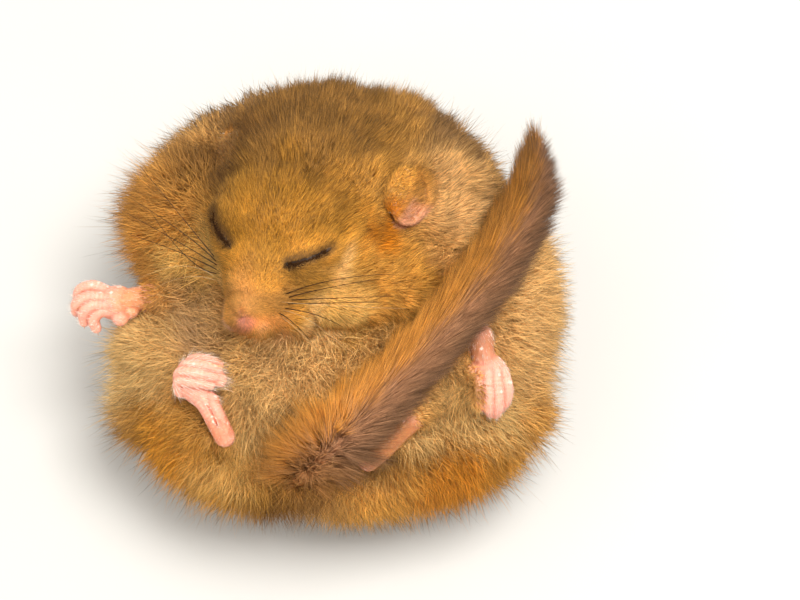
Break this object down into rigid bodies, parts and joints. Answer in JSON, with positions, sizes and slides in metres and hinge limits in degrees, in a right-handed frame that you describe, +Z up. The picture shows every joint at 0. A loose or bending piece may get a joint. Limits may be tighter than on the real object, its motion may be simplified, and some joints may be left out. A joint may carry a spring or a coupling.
{
  "type": "curled hazel dormouse",
  "caption": "Life-size still model of a hazel dormouse curled on its back in winter sleep, tail laid over belly and shoulder.",
  "frame": {"origin": "centre of the footprint, at floor level", "axes": "+Z up, +Y from the rump to the crown of the head, +X to the animal's left side, which is the side the tail passes over"},
  "size_m": [0.0548, 0.0502, 0.0369],
  "materials": {
    "golden_fur": "plush golden brown coat of the head and shoulders",
    "buff_fur": "paler plush coat of the belly, flanks and haunches",
    "tail_fur": "longer brown hair of the bushy tail",
    "bare_skin": "soft pink skin of the nose, ears, paws and feet",
    "lid_rim": "dark closed lids"
  },
  "bodies": {
    "root": {"head": "golden_fur", "neck": "golden_fur", "arm_left": "golden_fur", "arm_right": "buff_fur", "torso": "buff_fur", "leg_left": "buff_fur", "leg_right": "buff_fur", "tail_root": "tail_fur", "tail_middle": "tail_fur", "tail_end": "tail_fur", "nose": "bare_skin", "ear_left": "bare_skin", "ear_right": "bare_skin", "forepaw_left": "bare_skin", "forepaw_right": "bare_skin", "hind_foot_left": "bare_skin", "hind_foot_right": "bare_skin", "eyelids_left": "lid_rim", "eyelids_right": "lid_rim"}
  },
  "joints": []
}
